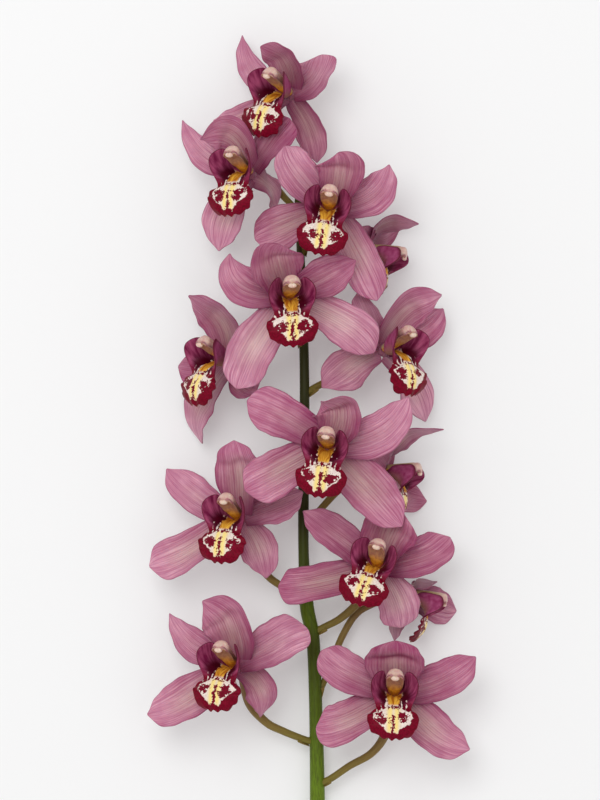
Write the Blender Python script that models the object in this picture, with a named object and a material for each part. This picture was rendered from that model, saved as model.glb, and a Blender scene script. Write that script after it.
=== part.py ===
# Cymbidium orchid stem, one cut flowering stem lying on a table
# Lengths are in millimetres up to the last step, which turns them to metres

import bpy
import math
import numpy as np
from mathutils import Vector

# Driving dimensions

PLAN_STEP = 0.65          # millimetres to one step of the plan the blooms are placed on
PLAN_MIDDLE_X = 312.0     # plan column that the stem follows
PLAN_FOOT_Y = 969.0       # plan row of the cut end
BLADE_THICKNESS = 0.8     # sepals and petals
LIP_THICKNESS = 1.1
HUB_RADIUS = 4.6
HUB_FRONT = 2.2           # hub disc ahead of the bloom centre
HUB_BACK = 3.0            # hub disc behind the bloom centre
SEAM = 0.3                # gap kept between a bloom and what it joins
COLUMN_LENGTH = 27.0
LIP_SCALE = 1.0
BRACT_LENGTH = 9.0

BLADE_ROWS = 5
BLADE_COLUMNS = 4
LIP_ROWS = 6
LIP_COLUMNS = 6

# Plan points of the main stem with its height over the table and its radius
STEM_LINE = [
    (317.0, 969.0, 5.0, 5.4),
    (317.2, 880.0, 6.2, 5.1),
    (317.5, 797.0, 8.6, 4.9),
    (315.6, 700.0, 13.0, 4.3),
    (313.0, 640.0, 15.5, 4.4),
    (307.0, 608.0, 17.0, 4.6),
    (303.8, 560.0, 18.5, 3.5),
    (303.5, 500.0, 19.5, 3.5),
    (304.6, 400.0, 19.5, 3.2),
    (303.5, 330.0, 18.5, 3.0),
    (300.5, 250.0, 17.0, 2.6),
    (298.0, 200.0, 16.0, 2.2),
    (301.5, 151.0, 15.5, 2.0),
]

# Start with an empty scene

for thing in list(bpy.data.objects):
    bpy.data.objects.remove(thing, do_unlink=True)


def plan(px, py, z):
    """Turn a plan position and a height to millimetres."""
    return Vector(((px - PLAN_MIDDLE_X) * PLAN_STEP, (PLAN_FOOT_Y - py) * PLAN_STEP, z))


def colour_of(name, colour, rough):
    """Make one plain material for a node."""
    material = bpy.data.materials.new(name)
    material.use_nodes = True
    shader = material.node_tree.nodes["Principled BSDF"]
    shader.inputs["Base Color"].default_value = (*colour, 1.0)
    shader.inputs["Roughness"].default_value = rough
    material.diffuse_color = (*colour, 1.0)
    return material


def make_object(name, points, faces):
    """Make a mesh object in metres with its faces turned outwards."""
    corners = np.array([tuple(p) for p in points])
    volume = 0.0
    for face in faces:
        a = corners[face[0]]
        for k in range(1, len(face) - 1):
            volume += float(np.dot(a, np.cross(corners[face[k]], corners[face[k + 1]])))
    if volume < 0.0:
        faces = [tuple(reversed(face)) for face in faces]
    mesh = bpy.data.meshes.new(name)
    mesh.from_pydata([tuple(p * 0.001) for p in corners], [], faces)
    mesh.update()
    body = bpy.data.objects.new(name, mesh)
    bpy.context.scene.collection.objects.link(body)
    return body


def join_repeats(name, pieces):
    """Fuse overlapping pieces into one closed body."""
    first = pieces[0]
    group = bpy.data.collections.new(name + "_repeats")
    bpy.context.scene.collection.children.link(group)
    for piece in pieces[1:]:
        group.objects.link(piece)
        bpy.context.scene.collection.objects.unlink(piece)
    fuse = first.modifiers.new("fuse", "BOOLEAN")
    fuse.operation = "UNION"
    fuse.operand_type = "COLLECTION"
    fuse.collection = group
    fuse.solver = "EXACT"
    bpy.ops.object.select_all(action="DESELECT")
    bpy.context.view_layer.objects.active = first
    first.select_set(True)
    bpy.ops.object.modifier_apply(modifier="fuse")
    for piece in list(group.objects):
        bpy.data.objects.remove(piece, do_unlink=True)
    bpy.data.collections.remove(group)
    first.name = name
    first.data.name = name
    return first


def rounded_line(knots, count):
    """Draw a smooth line through knots and give back evenly stepped samples."""
    knots = np.array(knots, dtype=float)
    padded = np.vstack([2 * knots[0] - knots[1], knots, 2 * knots[-1] - knots[-2]])
    spans = len(knots) - 1
    samples = []
    for i in range(count):
        t = i / (count - 1) * spans
        k = min(int(t), spans - 1)
        u = t - k
        p0, p1, p2, p3 = padded[k], padded[k + 1], padded[k + 2], padded[k + 3]
        samples.append(
            0.5 * (2 * p1 + (p2 - p0) * u + (2 * p0 - 5 * p1 + 4 * p2 - p3) * u * u
                   + (3 * p1 - p0 - 3 * p2 + p3) * u * u * u)
        )
    return np.array(samples)


def tube(name, samples, sides, flatten=1.0, up=(0.0, 0.0, 1.0), ends=None):
    """Skin a round bar along samples of position and radius."""
    spots = [Vector(s[:3]) for s in samples]
    radii = [float(s[3]) for s in samples]
    points = []
    faces = []
    side_way = None
    for i, spot in enumerate(spots):
        before = spots[max(i - 1, 0)]
        after = spots[min(i + 1, len(spots) - 1)]
        along = (after - before).normalized()
        if ends is not None and i in (0, len(spots) - 1):
            along = ends[0 if i == 0 else 1] or along
        if side_way is None:
            side_way = along.cross(Vector(up)).normalized()
        side_way = (side_way - along * side_way.dot(along)).normalized()
        other_way = side_way.cross(along)
        for k in range(sides):
            turn = 2 * math.pi * (k + 0.5) / sides
            points.append(spot + side_way * (math.cos(turn) * radii[i])
                          + other_way * (math.sin(turn) * radii[i] * flatten))
    for i in range(len(spots) - 1):
        for k in range(sides):
            a = i * sides + k
            b = i * sides + (k + 1) % sides
            faces.append((a, b, b + sides))
            faces.append((a, b + sides, a + sides))
    first_mid = len(points)
    points.append(spots[0])
    points.append(spots[-1])
    last = (len(spots) - 1) * sides
    for k in range(sides):
        faces.append((first_mid, (k + 1) % sides, k))
        faces.append((first_mid + 1, last + k, last + (k + 1) % sides))
    return make_object(name, points, faces)


def sheet(name, grid, thickness):
    """Give a grid of points a thickness and close it; keep it on or over the table."""
    rows, columns = grid.shape[0], grid.shape[1]
    down = np.gradient(grid, axis=0)
    across = np.gradient(grid, axis=1)
    normal = np.cross(down, across)
    normal /= np.maximum(np.linalg.norm(normal, axis=2, keepdims=True), 1e-9)
    tip_normal = normal[-2:].mean(axis=(0, 1))
    normal[-1] = tip_normal / np.linalg.norm(tip_normal)
    face_a = grid + normal * thickness * 0.5
    face_b = grid - normal * thickness * 0.5
    a_is_low = face_a[..., 2] <= face_b[..., 2]
    face_a[..., 2] = np.maximum(face_a[..., 2], np.where(a_is_low, 0.0, thickness))
    face_b[..., 2] = np.maximum(face_b[..., 2], np.where(a_is_low, thickness, 0.0))
    points = [Vector(p) for p in face_a.reshape(-1, 3)]
    points += [Vector(p) for p in face_b.reshape(-1, 3)]
    half = rows * columns
    faces = []
    for i in range(rows - 1):
        for j in range(columns - 1):
            a = i * columns + j
            b, c, d = a + 1, a + columns + 1, a + columns
            if (j < (columns - 1) / 2) == (i % 2 == 0):
                corners = ((a, b, c), (a, c, d))
            else:
                corners = ((a, b, d), (b, c, d))
            for x, y, z in corners:
                faces.append((x, y, z))
                faces.append((half + x, half + z, half + y))
    rim = [j for j in range(columns)]
    rim += [i * columns + columns - 1 for i in range(1, rows)]
    rim += [(rows - 1) * columns + j for j in range(columns - 2, -1, -1)]
    rim += [i * columns for i in range(rows - 2, 0, -1)]
    for k, a in enumerate(rim):
        b = rim[(k + 1) % len(rim)]
        faces.append((a, half + a, b))
        faces.append((b, half + a, half + b))
    return make_object(name, points, faces)


def blade_width(t, point):
    """Half width of a sepal or petal along its length, as a share of the widest."""
    widest = 0.56
    if t < widest:
        return 0.24 + 0.76 * math.sin(0.5 * math.pi * t / widest) ** 1.15
    u = (t - widest) / (1 - widest)
    return max((1 - u ** point), 0.0) ** 0.72 * 0.92 + 0.08


def blade_grid(hub, f, spec, seat, rows, columns):
    """Grid of one sepal or petal: hub, facing, plan points, and rows and columns."""
    mid_x, mid_y, mid_z = spec["mid"]
    tip_x, tip_y, tip_z = spec["tip"]
    middle = plan(mid_x, mid_y, hub.z + mid_z)
    tip = plan(tip_x, tip_y, hub.z + tip_z)
    width = spec["width"]
    roll = math.radians(spec.get("roll", 0.0))
    cup = spec.get("cup", 0.05)
    curl = spec.get("curl", 0.0)
    point = spec.get("point", 2.2)
    radial = middle - hub
    radial = (radial - f * radial.dot(f)).normalized()
    side = radial.cross(f)
    start = hub + radial * 2.4 + f * seat
    bend = middle * 2 - (start + tip) * 0.5
    grid = np.zeros((rows + 1, columns + 1, 3))
    for i in range(rows + 1):
        t = 1 - (1 - i / rows) ** 1.25
        spot = start * (1 - t) ** 2 + bend * 2 * t * (1 - t) + tip * t * t
        along = ((bend - start) * (1 - t) + (tip - bend) * t).normalized()
        across = (side - along * side.dot(along)).normalized()
        face = across.cross(along)
        ease = min(t / 0.35, 1.0)
        turn = roll * ease * ease * (3 - 2 * ease)
        rolled = across * math.cos(turn) + face * math.sin(turn)
        face = rolled.cross(along)
        half = 0.5 * width * blade_width(t, point)
        spot = spot + face * curl * max(t - 0.55, 0.0) ** 2 * 5.0
        for j in range(columns + 1):
            s = 2 * j / columns - 1
            lift = cup * width * s * s * math.sin(math.pi * min(t * 1.1, 1.0))
            grid[i, j] = spot + rolled * (s * half) + face * lift
    return grid


def lip_point(t, s):
    """Lip in bloom axes: forward, up and right, for a share along and a share across."""
    knots = [0, 0.15, 0.3, 0.45, 0.6, 0.75, 0.9, 1]
    forward = np.interp(t, knots, [0, 5, 10.5, 15, 18, 19, 17, 14.5])
    up = np.interp(t, knots, [0, -2.2, -4.6, -8, -13.8, -21, -28, -31.5])
    half = np.interp(t, [0, 0.1, 0.22, 0.38, 0.5, 0.6, 0.75, 0.88, 1],
                     [2.6, 8.5, 12.0, 13.5, 10.0, 13.5, 17.5, 15.0, 7.5])
    raised = np.interp(t, [0, 0.12, 0.28, 0.42, 0.52, 0.6], [4.0, 14.0, 17.0, 13.0, 3.5, 0.0])
    lean = np.interp(t, [0, 0.3, 0.5, 0.7, 0.9, 1], [0.15, 0.3, 0.7, 0.97, 0.9, 0.85])
    share = min(raised / 9.0, 1.0)
    right = half * ((1 - share) * s + share * math.copysign(math.sin(1.5 * abs(s)), s))
    lift = raised * (1 - math.cos(1.55 * s)) - 3.0 * s * s * (1 - share)
    tall = math.sqrt(1 - lean * lean)
    end = max(t - 0.72, 0.0) * 14.0 * s * s
    return forward + lean * lift, up + tall * lift + end, right


def lip_grid(hub, f, u, r, size, rows, columns):
    """Grid of the lip of one bloom."""
    grid = np.zeros((rows + 1, columns + 1, 3))
    origin = hub + f * (HUB_FRONT + SEAM + LIP_THICKNESS * 0.5) - u * 3.4
    for i in range(rows + 1):
        for j in range(columns + 1):
            forward, up, right = lip_point(i / rows, 2 * j / columns - 1)
            grid[i, j] = origin + (f * forward + u * up + r * right) * size
    return grid


def column_body(name, hub, f, u, size):
    """Arched column with the small cap at its end."""
    origin = hub + f * (HUB_FRONT + SEAM) + u * 1.2
    length = COLUMN_LENGTH * size
    steps = [(0.0, 0.0, 2.7), (0.22, 1.8, 3.9), (0.5, 3.1, 5.1), (0.75, 2.7, 6.0),
             (0.93, -0.1, 4.9), (1.0, -3.2, 2.2)]
    samples = []
    for share, rise, radius in steps:
        spot = origin + f * (length * share) + u * rise
        samples.append((spot.x, spot.y, spot.z, radius * size))
    return tube(name, samples, 8, 0.66, tuple(u), (f, None))


def hub_disc(name, hub, f, u, r):
    """Short round receptacle that the sepals and petals grow from."""
    samples = []
    for shift, radius in ((-HUB_BACK, HUB_RADIUS), (HUB_FRONT, HUB_RADIUS)):
        spot = hub + f * shift
        samples.append((spot.x, spot.y, spot.z, radius))
    return tube(name, samples, 6, 1.0, tuple(u * 0.93 + r * 0.37), (f, f))


def bract(name, foot, ahead):
    """Small dry scale that sits on the stem under a flower stalk."""
    foot = Vector(foot[:3])
    way = (Vector(ahead[:3]) - foot).normalized()
    way = (way + Vector((0.0, -0.25, 0.35))).normalized()
    samples = []
    for share, radius in ((0.1, 3.0), (1.2, 0.5)):
        spot = foot + way * (BRACT_LENGTH * share)
        samples.append((spot.x, spot.y, spot.z, radius))
    return tube(name, samples, 4)


MAUVE = (0.47, 0.17, 0.24)
MAROON = (0.20, 0.006, 0.03)
CREAM = (0.78, 0.62, 0.42)
OLIVE = (0.11, 0.14, 0.03)
stalks = []


def bloom(number, hub, faces, up, dorsal, left, right, low_left, low_right, stalk, size=1.0):
    """One bloom: sepals and petals as one node, its lip and its column as two more."""
    name = "bloom_%02d" % number
    centre = plan(*hub)
    f = Vector(faces).normalized()
    u = Vector((up[0], up[1], 0.0))
    u = (u - f * u.dot(f)).normalized()
    r = u.cross(f)
    pieces = [hub_disc(name + "_hub", centre, f, u, r)]
    for label, spec, seat in (("dorsal", dorsal, -0.6), ("left", left, 0.5), ("right", right, 0.5),
                              ("low_left", low_left, -1.0), ("low_right", low_right, -1.0)):
        grid = blade_grid(centre, f, spec, seat, BLADE_ROWS, BLADE_COLUMNS)
        pieces.append(sheet(name + "_" + label, grid, BLADE_THICKNESS))
    tepals = join_repeats(name + "_tepals", pieces)
    tepals.data.materials.clear()
    tepals.data.materials.append(colour_of(name + "_tepals", MAUVE, 0.5))
    lip = sheet(name + "_lip", lip_grid(centre, f, u, r, LIP_SCALE * size, LIP_ROWS, LIP_COLUMNS),
                LIP_THICKNESS)
    lip.data.materials.append(colour_of(name + "_lip", MAROON, 0.45))
    column = column_body(name + "_column", centre, f, u, size)
    column.data.materials.append(colour_of(name + "_column", CREAM, 0.45))
    end = centre - f * (HUB_BACK + SEAM)
    neck = centre - f * (HUB_BACK + SEAM + 8.0)
    knots = [tuple(plan(px, py, z)) + (radius,) for px, py, z, radius in stalk]
    knots.append(tuple(neck) + (3.0,))
    knots.append(tuple(end) + (2.4,))
    stalks.append(tube("stalk_%02d" % number, rounded_line(knots, 7), 5, ends=(None, f)))
    stalks.append(bract("bract_%02d" % number, knots[0], knots[1]))


# Blooms from the foot of the spray to its tip, numbered from the tip down

bloom(
    14, (394, 694, 42), (0.01, 0.34, 0.94), (0.05, 1.0),
    dorsal=dict(mid=(395, 662, 6), tip=(395, 638, 12), width=34.5, cup=0.10, point=2.6),
    left=dict(mid=(350, 672, -3), tip=(321, 651, -7), width=27, point=3.0),
    right=dict(mid=(438, 680, -2), tip=(476, 657, -5), width=27),
    low_left=dict(mid=(346, 723, -2), tip=(316, 728, -8), width=29, point=3.0),
    low_right=dict(mid=(434, 728, -2), tip=(470, 750, -6), width=28),
    stalk=[(318, 787, 9, 2.2), (331, 778, 12, 2.3), (350, 764, 14, 2.4), (372, 752, 16, 2.6),
           (386, 735, 18, 2.9)],
)
bloom(
    13, (235, 666, 42), (-0.38, 0.34, 0.86), (0.05, 1.0),
    dorsal=dict(mid=(230, 624, 6), tip=(204, 598, 8), width=31, cup=0.10),
    left=dict(mid=(194, 645, -10), tip=(169, 614, -17), width=21),
    right=dict(mid=(276, 644, 5), tip=(308, 629, 0), width=29, point=3.2),
    low_left=dict(mid=(184, 698, -4), tip=(147, 715, -8), width=29, point=2.8),
    low_right=dict(mid=(262, 689, -3), tip=(260, 718, -12), width=22),
    stalk=[(312, 744, 11, 2.2), (300, 738, 13, 2.3), (283, 729, 15, 2.5), (266, 719, 17, 2.7),
           (249, 700, 20, 3.0)],
)
bloom(
    12, (412, 592, 19), (0.85, -0.42, 0.10), (0.49, 0.87),
    dorsal=dict(mid=(416, 584, 2), tip=(437, 578, 3), width=22),
    left=dict(mid=(402, 594, 9), tip=(390, 598, 12), width=18),
    right=dict(mid=(433, 607, -16), tip=(458, 613, -21), width=24),
    low_left=dict(mid=(399, 617, -1), tip=(395, 642, -2), width=18, roll=30),
    low_right=dict(mid=(398, 606, -12), tip=(386, 614, -16), width=18),
    stalk=[(316, 702, 13, 2.0), (330, 670, 12, 2.1), (342, 639, 11, 2.3), (358, 614, 11, 2.4),
           (382, 600, 13, 2.6)],
    size=0.80,
)
bloom(
    11, (377, 567, 43), (-0.05, 0.42, 0.90), (0.30, 1.0),
    dorsal=dict(mid=(389, 531, 4), tip=(402, 512, 4), width=33, cup=0.10, point=2.6),
    left=dict(mid=(335, 535, 0), tip=(303, 511, -4), width=26),
    right=dict(mid=(421, 558, -2), tip=(450, 537, -5), width=27),
    low_left=dict(mid=(315, 582, -2), tip=(278, 587, -7), width=28),
    low_right=dict(mid=(397, 603, -3), tip=(401, 628, -9), width=28, point=2.8),
    stalk=[(312, 634, 16, 2.2), (325, 628, 16, 2.3), (340, 620, 17, 2.5), (356, 606, 19, 2.8),
           (368, 588, 22, 3.0)],
)
bloom(
    10, (240, 519, 38), (-0.38, 0.34, 0.86), (0.05, 1.0),
    dorsal=dict(mid=(238, 470, 4), tip=(236, 440, 6), width=29, cup=0.10),
    left=dict(mid=(196, 497, -10), tip=(166, 469, -17), width=24),
    right=dict(mid=(272, 505, 0), tip=(303, 492, -2), width=27, point=3.0),
    low_left=dict(mid=(182, 550, -4), tip=(149, 567, -8), width=29, point=2.8),
    low_right=dict(mid=(261, 548, -5), tip=(266, 579, -12), width=23),
    stalk=[(307, 606, 17, 2.0), (296, 596, 16, 2.2), (281, 587, 15, 2.4), (266, 575, 15, 2.6),
           (250, 550, 18, 2.9)],
)
bloom(
    9, (384, 468, 24), (0.85, -0.20, 0.25), (0.25, 1.0),
    dorsal=dict(mid=(402, 437, 2), tip=(444, 425, 2), width=26, roll=8),
    left=dict(mid=(384, 462, 11), tip=(372, 446, 20), width=22),
    right=dict(mid=(386, 462, -16), tip=(396, 452, -25), width=24),
    low_left=dict(mid=(376, 494, 4), tip=(366, 510, 4), width=22, roll=-25),
    low_right=dict(mid=(402, 494, -20), tip=(428, 502, -24), width=24),
    stalk=[(303.5, 527, 19, 2.0), (313, 518, 19, 2.1), (324, 506, 19, 2.3), (337, 492, 20, 2.5),
           (356, 476, 21, 2.7)],
    size=0.85,
)
bloom(
    8, (328, 446, 64), (-0.07, 0.16, 0.98), (0.13, 1.0),
    dorsal=dict(mid=(338, 413, 7), tip=(322, 397, 12), width=34, cup=0.10, point=2.6),
    left=dict(mid=(285, 416, -1), tip=(247, 401, -4), width=29, point=3.0),
    right=dict(mid=(376, 431, -1), tip=(408, 397, -4), width=27),
    low_left=dict(mid=(278, 472, -3), tip=(245, 490, -4), width=31, point=2.8),
    low_right=dict(mid=(369, 490, -4), tip=(402, 526, -9), width=30),
    stalk=[(304, 478, 19.5, 2.2), (300, 466, 22, 2.3), (297, 452, 25, 2.4), (302, 443, 31, 2.6),
           (314, 444, 40, 2.9)],
)
bloom(
    7, (383, 350, 38), (0.68, 0.28, 0.68), (0.12, 1.0),
    dorsal=dict(mid=(405, 309, -1), tip=(441, 292, -4), width=26, cup=0.10),
    left=dict(mid=(368, 319, -2), tip=(358, 292, -6), width=25),
    right=dict(mid=(422, 329, -14), tip=(444, 308, -23), width=25),
    low_left=dict(mid=(348, 365, -1), tip=(322, 388, -6), width=25),
    low_right=dict(mid=(413, 387, -14), tip=(426, 422, -20), width=29),
    stalk=[(303.5, 395, 19.5, 2.2), (314, 388, 18, 2.3), (330, 380, 17, 2.4), (350, 370, 17, 2.6),
           (370, 357, 20, 2.9)],
)
bloom(
    6, (230, 362, 30), (-0.70, 0.33, 0.62), (0.10, 1.0),
    dorsal=dict(mid=(219, 319, 2), tip=(190, 292, 4), width=31, cup=0.10),
    left=dict(mid=(208, 369, -23), tip=(182, 380, -32), width=24),
    right=dict(mid=(244, 352, 9), tip=(266, 345, 12), width=22),
    low_left=dict(mid=(201, 406, -10), tip=(202, 444, -14), width=28),
    low_right=dict(mid=(245, 381, 3), tip=(257, 390, 2), width=22, point=3.0),
    stalk=[(304, 446, 19.5, 2.2), (292, 432, 20, 2.2), (276, 416, 20, 2.3), (258, 401, 19, 2.5),
           (245, 383, 19, 2.8)],
)
bloom(
    5, (289, 297, 57), (0.08, 0.18, 0.98), (-0.02, 1.0),
    dorsal=dict(mid=(276, 263, 7), tip=(279, 243, 12), width=35, cup=0.10, point=3.0),
    left=dict(mid=(244, 284, -1), tip=(230, 254, -2), width=26),
    right=dict(mid=(325, 276, 1), tip=(356, 261, 0), width=23),
    low_left=dict(mid=(254, 349, -3), tip=(237, 389, -6), width=31, point=2.8),
    low_right=dict(mid=(342, 324, -3), tip=(374, 353, -7), width=27),
    stalk=[(303.5, 348, 19, 2.2), (299, 336, 21, 2.3), (296, 324, 25, 2.4), (293, 312, 31, 2.6),
           (290, 303, 39, 2.9)],
)
bloom(
    4, (370, 246, 23), (0.82, -0.35, 0.25), (0.40, 0.9),
    dorsal=dict(mid=(387, 222, 0), tip=(420, 219, 2), width=24, roll=10),
    left=dict(mid=(366, 240, 9), tip=(356, 228, 13), width=20),
    right=dict(mid=(382, 236, -15), tip=(400, 229, -23), width=22),
    low_left=dict(mid=(364, 266, 2), tip=(360, 284, 0), width=20),
    low_right=dict(mid=(374, 268, -14), tip=(378, 285, -20), width=20),
    stalk=[(301.5, 280, 17.5, 1.9), (312, 270, 17, 2.0), (326, 260, 17, 2.2), (340, 253, 18, 2.4),
           (352, 249, 20, 2.6)],
    size=0.85,
)
bloom(
    3, (329, 209, 53), (-0.02, 0.24, 0.97), (0.17, 1.0),
    dorsal=dict(mid=(343, 174, 6), tip=(339, 152, 10), width=32, cup=0.10, point=2.6),
    left=dict(mid=(298, 172, 4), tip=(285, 147, 8), width=28),
    right=dict(mid=(371, 197, -1), tip=(389, 165, -3), width=27),
    low_left=dict(mid=(283, 226, -4), tip=(255, 240, -8), width=28),
    low_right=dict(mid=(358, 256, -5), tip=(377, 301, -9), width=26),
    stalk=[(301, 256, 17, 2.0), (305, 246, 18, 2.1), (311, 235, 21, 2.3), (318, 223, 26, 2.5),
           (325, 213, 34, 2.8)],
)
bloom(
    2, (250, 173, 44), (-0.47, 0.32, 0.82), (-0.02, 1.0),
    dorsal=dict(mid=(231, 138, 2), tip=(199, 136, 3), width=26, cup=0.08),
    left=dict(mid=(208, 155, -12), tip=(182, 119, -20), width=20),
    right=dict(mid=(272, 140, 5), tip=(290, 119, 5), width=27, point=3.0),
    low_left=dict(mid=(225, 216, -4), tip=(219, 251, -8), width=27),
    low_right=dict(mid=(270, 190, -9), tip=(276, 209, -18), width=22, roll=50),
    stalk=[(299, 212, 16, 1.9), (293, 205, 15, 2.0), (285, 197, 15, 2.2), (277, 188, 17, 2.4),
           (266, 178, 21, 2.7)],
)
bloom(
    1, (290, 93, 32), (-0.55, 0.30, 0.78), (0.20, 1.0),
    dorsal=dict(mid=(284, 62, 5), tip=(262, 43, 7), width=27, cup=0.08),
    left=dict(mid=(255, 72, -11), tip=(243, 36, -18), width=18),
    right=dict(mid=(314, 77, 3), tip=(321, 54, 0), width=30, point=3.2),
    low_left=dict(mid=(240, 118, -7), tip=(213, 119, -12), width=22),
    low_right=dict(mid=(309, 130, -4), tip=(317, 162, -9), width=19),
    stalk=[(301.5, 156, 15.5, 1.9), (303, 142, 15, 2.0), (304, 128, 14, 2.2), (302, 114, 15, 2.4)],
)

# The main stem, lying on its cut end, with a small leafy bract under each flower stalk

knots = [tuple(plan(px, py, z)) + (radius,) for px, py, z, radius in STEM_LINE]
stem_samples = rounded_line(knots, 20)
stem_parts = [tube("main_stem", stem_samples, 8)] + stalks
stem = join_repeats("stem", stem_parts)
stem.data.materials.clear()
stem.data.materials.append(colour_of("stem", OLIVE, 0.5))

# Put the middle of the foot of the whole at the origin

everything = [thing for thing in bpy.data.objects if thing.type == "MESH"]
low = Vector((1e9, 1e9, 1e9))
high = Vector((-1e9, -1e9, -1e9))
for thing in everything:
    for vertex in thing.data.vertices:
        for axis in range(3):
            low[axis] = min(low[axis], vertex.co[axis])
            high[axis] = max(high[axis], vertex.co[axis])
shift = Vector((-(low.x + high.x) * 0.5, -(low.y + high.y) * 0.5, -low.z))
for thing in everything:
    for vertex in thing.data.vertices:
        vertex.co += shift
    thing.data.update()
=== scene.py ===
import math

import bpy
import numpy as np
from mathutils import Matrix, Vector


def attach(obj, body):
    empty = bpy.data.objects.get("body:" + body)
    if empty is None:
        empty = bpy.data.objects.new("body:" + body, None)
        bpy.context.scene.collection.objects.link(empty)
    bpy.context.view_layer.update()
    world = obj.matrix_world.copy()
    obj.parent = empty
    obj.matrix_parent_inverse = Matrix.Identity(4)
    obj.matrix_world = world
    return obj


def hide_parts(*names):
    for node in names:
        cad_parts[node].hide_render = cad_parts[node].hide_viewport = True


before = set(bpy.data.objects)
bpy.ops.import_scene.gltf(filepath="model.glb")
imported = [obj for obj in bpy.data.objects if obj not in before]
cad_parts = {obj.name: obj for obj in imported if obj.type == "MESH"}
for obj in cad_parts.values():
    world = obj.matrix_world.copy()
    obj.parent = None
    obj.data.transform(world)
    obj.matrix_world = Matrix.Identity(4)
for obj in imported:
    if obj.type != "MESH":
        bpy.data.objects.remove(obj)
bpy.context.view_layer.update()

# Sepals and petals
# Five thin blades of living tissue grow from the back of each bloom: a hooded dorsal sepal, two
# petals and two lower sepals. Growth draws each one out, so veins run its whole length, its margin
# waves a little and its tip narrows.

BLADE_THICKNESS = 0.8      # mm

# Every bloom, 1 at the tip: hub is its centre on a plan of 0.65 mm steps and its height in mm,
# faces the way that it looks, and up the way of its dorsal sepal. A blade has a middle and a tip on
# the plan, with heights over the hub, and a width in mm. cup is how far its margins rise, as a
# share of the width, point is low for a pointed tip and high for a blunt one, bow is its bow to the
# side in mm, roll its turn in degrees, and crease how strongly it folds. stalk gives the flower
# stalk's plan places, heights and radii, and size the scale of a smaller bloom's lip and column.

BLOOMS = {}
BLOOMS[14] = dict(
    hub=(394, 694, 42), faces=(0.01, 0.34, 0.94), up=(0.05, 1.0),
    dorsal=dict(mid=(395, 662, 6), tip=(395, 638, 12), width=38, cup=0.10, point=2.6, crease=1.0),
    left=dict(mid=(350, 672, -3), tip=(321, 651, -7), width=27, point=3.2, bow=-1.5),
    right=dict(mid=(438, 680, -2), tip=(476, 657, -5), width=27, point=2.0, bow=2.0),
    low_left=dict(mid=(346, 723, -2), tip=(316, 728, -8), width=29, point=3.0, bow=1.5),
    low_right=dict(mid=(434, 728, -2), tip=(470, 750, -6), width=30, point=1.6, bow=3.0),
    stalk=[(318, 787, 9, 2.2), (331, 781, 12, 2.3), (350, 768, 14, 2.4), (372, 755, 16, 2.6),
           (386, 735, 18, 2.9)],
)
BLOOMS[13] = dict(
    hub=(235, 666, 42), faces=(-0.38, 0.34, 0.86), up=(0.05, 1.0),
    dorsal=dict(mid=(230, 624, 6), tip=(204, 598, 8), width=35, cup=0.10, point=1.9, crease=0.4),
    left=dict(mid=(194, 645, -10), tip=(169, 614, -17), width=21, point=1.0, bow=-0.5),
    right=dict(mid=(276, 644, 5), tip=(308, 629, 0), width=32, point=3.6, bow=-2.0),
    low_left=dict(mid=(184, 698, -4), tip=(147, 715, -8), width=31, point=1.8, bow=-3.0),
    low_right=dict(mid=(262, 689, -3), tip=(260, 718, -12), width=22, point=1.7, bow=1.5),
    stalk=[(312, 744, 11, 2.2), (300, 740, 13, 2.3), (283, 733, 15, 2.5), (266, 724, 17, 2.7),
           (249, 704, 20, 3.0)],
)
BLOOMS[12] = dict(
    hub=(412, 592, 19), faces=(0.85, -0.42, 0.10), up=(0.49, 0.87),
    dorsal=dict(mid=(416, 584, 2), tip=(437, 578, 3), width=22),
    left=dict(mid=(402, 594, 9), tip=(390, 598, 12), width=18),
    right=dict(mid=(433, 607, -16), tip=(458, 613, -21), width=24),
    low_left=dict(mid=(399, 617, -1), tip=(395, 642, -2), width=18, roll=30),
    low_right=dict(mid=(398, 606, -12), tip=(386, 614, -16), width=18),
    stalk=[(316, 702, 13, 2.0), (330, 670, 12, 2.1), (342, 639, 11, 2.3), (358, 614, 11, 2.4),
           (382, 600, 13, 2.6)],
    size=0.80,
)
BLOOMS[11] = dict(
    hub=(377, 567, 43), faces=(-0.05, 0.42, 0.90), up=(0.30, 1.0),
    dorsal=dict(mid=(389, 531, 4), tip=(402, 512, 4), width=37, cup=0.10, point=2.6),
    left=dict(mid=(335, 535, 0), tip=(303, 511, -4), width=26, point=1.2, bow=1.0),
    right=dict(mid=(421, 558, -2), tip=(450, 537, -5), width=29, point=3.2),
    low_left=dict(mid=(315, 582, -2), tip=(278, 587, -7), width=28, point=2.8, bow=-1.5),
    low_right=dict(mid=(397, 603, -3), tip=(401, 628, -9), width=28, point=2.8),
    stalk=[(312, 634, 16, 2.2), (325, 628, 16, 2.3), (340, 620, 17, 2.5), (356, 606, 19, 2.8),
           (368, 588, 22, 3.0)],
)
BLOOMS[10] = dict(
    hub=(240, 519, 38), faces=(-0.38, 0.34, 0.86), up=(0.05, 1.0),
    dorsal=dict(mid=(238, 470, 4), tip=(236, 440, 6), width=33, cup=0.10, point=1.8, crease=0.5),
    left=dict(mid=(196, 497, -10), tip=(166, 469, -17), width=24, point=1.8, bow=0.5),
    right=dict(mid=(272, 505, 0), tip=(303, 492, -2), width=31, point=1.8, bow=1.5),
    low_left=dict(mid=(182, 550, -4), tip=(149, 567, -8), width=31, point=1.9, bow=-3.0),
    low_right=dict(mid=(261, 548, -5), tip=(266, 579, -12), width=25, point=1.6, bow=1.5),
    stalk=[(307, 606, 17, 2.0), (296, 596, 16, 2.2), (281, 587, 15, 2.4), (266, 575, 15, 2.6),
           (250, 550, 18, 2.9)],
)
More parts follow.
